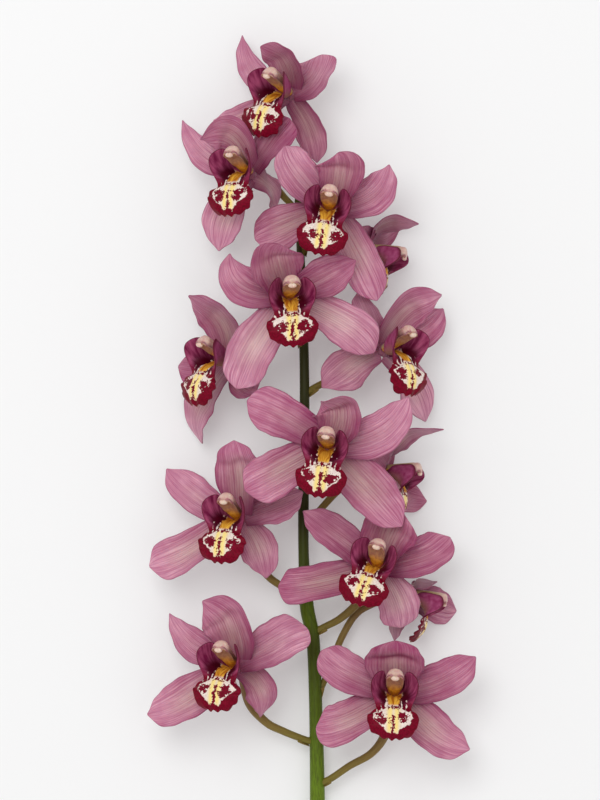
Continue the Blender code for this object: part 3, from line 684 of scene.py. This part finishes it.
# The pattern, in mm to the side of the middle and mm down from a line near the throat's top
PATTERN_TOP = 3.2
FIELD_DOWN = [7, 9, 11, 13, 15, 17.5, 20, 22.5, 24.5, 29]
FIELD_HALF = [3.0, 4.4, 7.6, 11.6, 13.0, 12.0, 9.6, 6.2, 4.4, 0.3]
FIELD_TOP, FIELD_END = 7.0, 26.0
# Rays of cream up between the dark patches beside the throat: from, to, and half width
RAYS = ((5.0, -12.0, 4.9, -5.0, 0.35), (7.4, -14.0, 8.8, -6.0, 0.1),
        (10.2, -16.0, 12.2, -10.0, 0.0))
STRIPE_HALF, STRIPE_TOP, STRIPE_END = 1.15, 14.0, 30.0
BLOTCHES_AT = (7.7, 16.8)

for number, bloom in BLOOMS.items():
    label = "bloom_%02d" % number
    hub, f, u, r = bloom_axes(bloom)
    size = bloom.get("size", 1.0)
    phase = np.random.default_rng(500 + number).uniform(0.0, 1.0, 6)
    lip, s, t = flat_sheet(label + "_lip_petal", 28, 34)
    forward, up, right = lip_spots(s, t, phase)
    foot = hub + f * (RECEPTACLE_FRONT + SEAM + LIP_THICKNESS / 2) - u * LIP_DROP
    spots = foot + (np.outer(forward, f) + np.outer(up, u) + np.outer(right, r)) * size
    put(lip, keep_above(spots, LIP_THICKNESS * PRESSED))
    mark(lip, "field", s, t, 0.0)
    mark(lip, "glow", forward, up, right)
    lip.data.materials.append(lip_back)
    lip.data.materials.append(lip_front)
    give_body(lip, LIP_THICKNESS)
    s, t, _ = marked(lip, "field").T
    _, up, right = marked(lip, "glow").T
    x = np.abs(right)
    low = -up - PATTERN_TOP
    # Distances in mm into the cream field, with two notches in its end, and into a maroon blotch
    wide = drawn(np.clip(low, 7, 28.9), FIELD_DOWN, FIELD_HALF)
    notch = 2.0 * np.exp(-((x - 4.6) / 0.8) ** 2)
    field = np.minimum(wide - x, np.minimum(low - FIELD_TOP, FIELD_END - low - notch))
    for x0, y0, x1, y1, girth in RAYS:
        way = np.clip(((x - x0) * (x1 - x0) + (up - y0) * (y1 - y0))
                      / ((x1 - x0) ** 2 + (y1 - y0) ** 2), 0, 1)
        gap = np.hypot(x - x0 - way * (x1 - x0), up - y0 - way * (y1 - y0))
        field = np.maximum(field, (girth + 0.3 * (1 - way) - gap) * 1.7 - 0.1)
    field = np.maximum(field, np.minimum(4.9 - 0.26 * low - x, 9.0 - low) * 1.2)
    # A stripe between the ridges, two pairs of specks above it, and blotches on either side
    blotch = np.minimum(STRIPE_HALF - x, np.minimum(low - STRIPE_TOP, STRIPE_END - low))
    specks = 1.0 - np.sqrt((np.abs(x - 1.9) - 0.9) ** 2 + (low - 9.2) ** 2)
    blotch = np.maximum(blotch, specks)
    spread = np.random.default_rng(900 + number)
    for way in (-1, 1):
        for _ in range(4):
            x0 = way * (BLOTCHES_AT[0] + spread.uniform(-2.5, 2.5))
            y0 = BLOTCHES_AT[1] + spread.uniform(-2.4, 2.2)
            girth = spread.uniform(1.7, 2.8)
            blotch = np.maximum(blotch, girth - np.hypot((right - x0) * 0.8, low - y0))
    ridge = (np.exp(-((x - 2.2) / 1.9) ** 2) * swell(low, 8.5, 10.5)
             * (1 - swell(low, 23.0, 29.0)))
    throat = (swell(6.0 - 0.3 * np.maximum(low, 0.0) - x, 0.0, 1.0)
              * (1 - swell(low, 6.6, 8.6)))
    lobe = swell(np.abs(s), 0.40, 0.55) * (1 - swell(t, 0.42, 0.52))
    deep = ((1 - swell(np.abs(s), 0.42, 0.74)) * (1 - swell(t, 0.5, 0.58))
            * swell(x, 2.5, 4.5))
    mark(lip, "field", field, blotch, ridge)
    mark(lip, "glow", throat, lobe, deep)
    mark(lip, "run", s * 2.2, t * 26.0, number)
    mark(lip, "edge_out", swell(1 - np.abs(s), 0.3, 0.8), swell(np.abs(s), 0.9, 0.99), 0.0)
    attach(lip, "root")
    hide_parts(label + "_lip")

# Columns
# The fused stamen and style: one arched waxy body, hollow below, with a small hinged cap over the
# pollen at its end. Cream on top, flushed with pink, orange brown in the hollow, and a darker red
# band round the hollow's rim that is partly pigment and partly painted shade.

COLUMN_LENGTH = 27.0
COLUMN_LIFT = 1.2                # mm from the bloom's centre up to the column's foot
WING_DROOP = 2.2                 # mm that the thin wings hang below the sides
CAP_RADII = (2.8, 1.6, 1.9)      # mm across, up and forward
CAP_LIFT = 0.4
CAP_PLACE = 0.965                # share of the column's length


def column_tissue():
    """Waxy tissue with a tight gloss, mottled every 2 mm."""
    material, tree, shader, spot = new_material(
        "column_tissue", IOR=1.42, Subsurface_Weight=0.08, Subsurface_Scale=0.002,
        Coat_Weight=0.15, Coat_Roughness=0.3)
    below, pink_flush_and_rim_shade, wing = parts_of(tree, "tone")
    inside, back, _ = parts_of(tree, "base")
    grain = noise(tree, spot, 500.0, 3.0)
    cream = graded(tree, grain, (0.3, "#EAD6BE"), (0.7, "#DDB0A4"))
    hollow = graded(tree, grain, (0.35, "#BE8E6C"), (0.65, "#A87062"))
    inner = graded(tree, grain, (0.35, "#E6A42E"), (0.65, "#C07A24"))
    hollow = laid(tree, inside, hollow, inner)
    cream = laid(tree, back, cream, "#B3A268")
    colour = laid(tree, below, cream, hollow)
    # A pink flush over the top, and a darker red band round the hollow's rim near the end, partly
    # pigment and partly painted shade
    colour = laid(tree, pink_flush_and_rim_shade, colour, "#932E52")
    colour = laid(tree, wing, colour, "#5E0D2C")
    # Cells are about 0.45 mm wide
    give_finish(tree, shader, colour, grain, (0.3, 0.45), noise(tree, spot, 2200.0, 2.0),
                0.3, 0.00015)
    return material


column_wax = column_tissue()


def close_roll(piece):
    """Welds a rolled sheet's seam and its closed ends, and turns its faces outwards."""
    bpy.ops.object.select_all(action="DESELECT")
    piece.select_set(True)
    bpy.context.view_layer.objects.active = piece
    bpy.ops.object.mode_set(mode="EDIT")
    bpy.ops.mesh.select_all(action="SELECT")
    bpy.ops.mesh.remove_doubles(threshold=0.000002)
    bpy.ops.mesh.normals_make_consistent(inside=False)
    bpy.ops.object.mode_set(mode="OBJECT")
    bpy.ops.object.shade_smooth()


for number, bloom in BLOOMS.items():
    label = "bloom_%02d" % number
    hub, f, u, r = bloom_axes(bloom)
    size = bloom.get("size", 1.0)
    foot = hub + f * (RECEPTACLE_FRONT + SEAM) + u * COLUMN_LIFT
    body, s, t = flat_sheet(label + "_column_body", 32, 36)
    share = np.clip((t - 0.03) / 0.94, 0.0, 1.0)
    # The arch, the half width and the half height along the column, in mm
    knots = [0, 0.22, 0.5, 0.75, 0.93, 1.0]
    rise = drawn(share, knots, [-0.9, 0.3, 2.0, 3.2, 2.9, 1.6])
    closed = np.where((t < 0.02) | (t > 0.99), 0.0, 1.0)
    radius = drawn(share, knots, [3.9, 4.8, 5.5, 5.8, 5.3, 3.2]) * closed
    tall = drawn(share, knots, [2.8, 3.4, 3.7, 3.9, 3.6, 2.0]) * closed
    angle = np.pi * s
    low = np.maximum(-np.sin(angle), 0.0)
    # The underside is scooped out towards the end, which leaves a thin wing along each side
    scoop = 0.85 * low ** 2 * swell(share, 0.25, 0.6) * (1 - swell(share, 0.95, 1.0))
    right = np.cos(angle) * radius
    crown = np.where(np.sin(angle) > 0, 1 + 0.12 * swell(share, 0.5, 0.9), 1.0)
    above = np.sin(angle) * tall * (1 - scoop) * crown
    droop = (np.abs(np.cos(angle)) ** 4 * swell(share, 0.2, 0.5)
             * (1 - swell(share, 0.9, 0.98)) * closed)
    above = above - WING_DROOP * droop
    put(body, foot + np.outer(share * COLUMN_LENGTH * size, f) + np.outer(right * size, r)
        + np.outer(rise + above * size, u))
    mark(body, "tone", s, share, rise + above + WING_DROOP * droop)
    body.data.materials.append(column_wax)
    close_roll(body)
    s, share, height = marked(body, "tone").T
    angle = np.pi * s
    under = swell(-np.sin(angle), 0.1, 0.45)
    hollow = np.maximum(under, (1 - swell(height, 1.2, 2.2)) * swell(share, 0.8, 0.9))
    # A darker red band round the hollow's rim near the end, partly pigment and partly painted
    # shade, then a faint pink flush over the top
    flush = 0.95 * np.exp(-((height - 2.5) / 0.7) ** 2) * swell(share, 0.8, 0.92)
    flush = np.maximum(flush, (0.24 - 0.12 * (1 - swell(share, 0.35, 0.7))) * (1 - under))
    wing = np.exp(-((np.abs(np.cos(angle)) - 1.0) / 0.02) ** 2) * swell(share, 0.2, 0.4) * 0.7
    mark(body, "tone", hollow, flush, wing)
    mark(body, "base", 1 - swell(share, 0.3, 0.55), 0.9 * (1 - swell(share, 0.55, 0.85)), 0.0)
    # The cap is a small two-lobed helmet at the end
    cap, ball = round_ball(24, 16)
    groove = 1 - 0.22 * np.exp(-(ball[:, 0] / 0.22) ** 2) * np.clip(ball[:, 2] + 0.3, 0, 1)
    ball = ball * groove[:, None]
    put(cap, foot + f * (COLUMN_LENGTH * CAP_PLACE * size)
        + (r * ball[:, :1] * CAP_RADII[0] + u * (ball[:, 1:2] * CAP_RADII[1] + CAP_LIFT)
           + f * ball[:, 2:] * CAP_RADII[2]) * size)
    cap.data.materials.append(column_wax)
    bpy.ops.object.shade_smooth()
    mark(cap, "tone", 0.0, 0.0, 0.0)
    mark(cap, "base", 0.0, 0.0, 0.0)
    column = join_all(label + "_column_cap", [body, cap])
    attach(column, "root")
    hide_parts(label + "_column")

# Stalks
# The main stalk is a fleshy green rod, cut with a knife at its foot. Each flower stalk leaves it
# above a small dry scale and thickens to the grooved ovary behind its bloom.

# Plan places of the main stalk from its cut end, with height over the table and radius in mm
STEM_LINE = [
    (317.0, 969.0, 5.0, 5.4),
    (317.2, 880.0, 6.2, 5.1),
    (317.5, 797.0, 8.6, 4.9),
    (315.6, 700.0, 13.0, 4.3),
    (313.0, 640.0, 15.5, 4.4),
    (307.0, 608.0, 17.0, 4.6),
    (303.8, 560.0, 18.5, 3.5),
    (303.5, 500.0, 19.5, 3.5),
    (304.6, 400.0, 19.5, 3.2),
    (303.5, 330.0, 18.5, 3.0),
    (300.5, 250.0, 17.0, 2.6),
    (298.0, 200.0, 16.0, 2.2),
    (301.5, 151.0, 15.5, 2.0),
]
# The ovary's thickest place and its end: mm behind the bloom's centre, and radius
OVARY = ((11.3, 3.0), (3.1, 2.4))
OVARY_GROOVES = 0.05       # share of the radius
SCALE_THICKNESS = 0.6
SCALE_LENGTH = 9.9


def smooth_line(knots, count):
    """Places and radii along a smooth line through knots."""
    knots = np.array(knots, float)
    padded = np.vstack([2 * knots[0] - knots[1], knots, 2 * knots[-1] - knots[-2]])
    t = np.linspace(0, len(knots) - 1, count)
    k = np.minimum(t.astype(int), len(knots) - 2)
    u = (t - k)[:, None]
    p0, p1, p2, p3 = padded[k], padded[k + 1], padded[k + 2], padded[k + 3]
    return 0.5 * (2 * p1 + (p2 - p0) * u + (2 * p0 - 5 * p1 + 4 * p2 - p3) * u * u
                  + (3 * p1 - p0 - 3 * p2 + p3) * u ** 3)


def rod(name, samples, sides, last=None, grooves=0.0):
    """A round rod along samples of place and radius, closed at both ends."""
    rows = np.vstack([samples[:1], samples, samples[-1:]])
    rows[0, 3] = rows[-1, 3] = 0.0
    count = len(samples)
    way = np.gradient(samples[:, :3], axis=0)
    if last is not None:
        way[-1] = last
    way = unit(np.vstack([way[:1], way, way[-1:]]))
    side = np.zeros_like(way)
    side[0] = unit(np.cross(way[0], (0.0, 0.0, 1.0)))
    for i in range(1, len(way)):
        side[i] = unit(side[i - 1] - way[i] * (side[i - 1] @ way[i]))
    piece, s, t = flat_sheet(name, sides, count + 1)
    row = np.rint(t * (count + 1)).astype(int)
    angle = np.pi * s
    other = np.cross(side, way)
    radius = rows[row, 3] * (1 + grooves * np.cos(6 * angle) * swell(t, 0.45, 0.7))
    spots = (rows[row, :3] + side[row] * (np.cos(angle) * radius)[:, None]
             + other[row] * (np.sin(angle) * radius)[:, None])
    put(piece, keep_above(spots, TABLE_GAP))
    steps = np.linalg.norm(np.diff(samples[:, :3], axis=0), axis=1)
    run = np.concatenate([[0, 0], np.cumsum(steps), [0]])
    run[-1] = run[-2]
    mark(piece, "ring", np.cos(angle) * 3, np.sin(angle) * 3, run[row] * 0.12)
    mark(piece, "tone", run[row] / run[-1], 0.0, 0.0)
    close_roll(piece)
    return piece


def stalk_skin(name, blush, *stops):
    """Stalk skin: smooth waxy cuticle over lengthwise fibres, coloured along its length."""
    material, tree, shader, spot = new_material(name, IOR=1.42, Specular_IOR_Level=0.18)
    # Fibres are a fifth of the stalk's radius wide, and the cuticle's grain is about 0.7 mm
    fibre = noise(tree, written(tree, "ring"), 1.6, 4.0, 0.65)
    fine = noise(tree, spot, 1500.0, 2.0)
    along = graded(tree, parts_of(tree, "tone")[0], *stops)
    colour = laid(tree, between(tree, fibre, 0.4, 0.68, 0.0, 0.55), along, blush)
    give_finish(tree, shader, colour, fine, (0.34, 0.5),
                reckon(tree, "MULTIPLY_ADD", fine, 0.3, fibre), 0.4, 0.0003)
    return material


green_skin = stalk_skin(
    "main_stalk_skin", "#3A3A12",
    (0.0, "#748E22"), (0.21, "#66801C"), (0.30, "#546818"), (0.40, "#424E12"), (0.44, "#5A6E14"),
    (0.48, "#45521A"), (0.55, "#2E2E10"), (0.75, "#33361A"), (1.0, "#4C4A22"))
brown_skin = stalk_skin(
    "flower_stalk_skin", "#66462A",
    (0.0, "#76702C"), (0.4, "#84703A"), (0.8, "#846644"), (1.0, "#7A4A4A"))

knots = [(*plan(px, py, z), radius) for px, py, z, radius in STEM_LINE]
main = rod("main_stalk", smooth_line(knots, 150), 28)
main.data.materials.append(green_skin)
stalks = []
scales = []
for number, bloom in BLOOMS.items():
    hub, f, _, _ = bloom_axes(bloom)
    knots = [(*plan(px, py, z), radius) for px, py, z, radius in bloom["stalk"]]
    foot, ahead = np.array(knots[0][:3]), np.array(knots[1][:3])
    knots += [(*(hub - f * back), radius) for back, radius in OVARY]
    stalk = rod("flower_stalk_%02d" % number, smooth_line(knots, 40), 18, f, OVARY_GROOVES)
    stalk.data.materials.append(brown_skin)
    stalks.append(stalk)
    # The dry scale below the flower stalk is a small hooded triangle
    way = unit(unit(ahead - foot) + np.array([0.0, -0.25, 0.35]))
    side = unit(np.cross(way, (0.0, 0.0, 1.0)))
    top = np.cross(side, way)
    scale, s, t = flat_sheet("scale_%02d" % number, 8, 10)
    wide = 3.0 * (1 - t) ** 0.8 + 0.25
    spots = foot + np.outer(0.9 + SCALE_LENGTH * t, way) + np.outer(np.sin(1.4 * s) * wide, side)
    spots += np.outer(-2.6 * (1 - t) * np.cos(1.4 * s) - 0.6 * t, top)
    put(scale, spots)
    scale.data.materials.append(brown_skin)
    scale.data.materials.append(brown_skin)
    mark(scale, "ring", s * 3, 0.0, t)
    mark(scale, "tone", 0.3, 0.0, 0.0)
    give_body(scale, SCALE_THICKNESS)
    scales.append(scale)
flower_stalks = join_all("flower_stalks", stalks)
dry_scales = join_all("dry_scales", scales)
for piece in (main, flower_stalks, dry_scales):
    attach(piece, "root")
    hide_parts("stem")

# Floor, light and camera
# A pale matt board that glows faintly, as on a light table, with soft studio light from above. The
# camera looks straight down, as in a product photograph.

bpy.ops.object.select_all(action="DESELECT")
bpy.ops.mesh.primitive_plane_add(size=12.0)
floor = bpy.context.object
floor.name = "floor"
board = new_material("matt_board", Roughness=0.9, Base_Color=linear("#DCDCDC"),
                     Emission_Color=(1.0, 1.0, 1.0, 1.0), Emission_Strength=0.20)[0]
floor.data.materials.append(board)

world = bpy.data.worlds.new("studio")
bpy.context.scene.world = world
world.use_nodes = True
sky = world.node_tree.nodes["Background"]
sky.inputs["Color"].default_value = (1.0, 1.0, 1.0, 1.0)
sky.inputs["Strength"].default_value = 0.70

# Each lamp's place and width in metres, and its watts
LAMPS = (("key", (-0.6, 0.9, 2.6), 1.5, 27.0), ("fill", (1.0, -0.8, 2.4), 2.0, 4.0))
AIM = (0.0, 0.05, 0.0)
for name, place, width, power in LAMPS:
    lamp = bpy.data.lights.new(name, "AREA")
    lamp.energy = power
    lamp.size = width
    holder = bpy.data.objects.new(name, lamp)
    bpy.context.scene.collection.objects.link(holder)
    holder.location = place
    way = Vector(np.array(AIM) - np.array(place))
    holder.rotation_euler = way.to_track_quat("-Z", "Y").to_euler()

# The photograph's frame is 390 by 520 mm at 40 mm over the board, with the long side upright
LENS = 300.0
SENSOR = 36.0
FRAME_HEIGHT = 0.52
FRAME_LEVEL = 0.040
FRAME_MIDDLE = (300.0, 400.0)      # plan column and row
lens = bpy.data.cameras.new("camera")
lens.lens = LENS
lens.sensor_width = SENSOR
lens.clip_end = 100.0
camera = bpy.data.objects.new("camera", lens)
bpy.context.scene.collection.objects.link(camera)
middle = plan(*FRAME_MIDDLE, 0.0) * 0.001
camera.location = (middle[0], middle[1], FRAME_HEIGHT / SENSOR * LENS + FRAME_LEVEL)
camera.rotation_euler = (0.0, 0.0, 0.0)
bpy.context.scene.camera = camera
bpy.context.scene.view_settings.view_transform = "Standard"
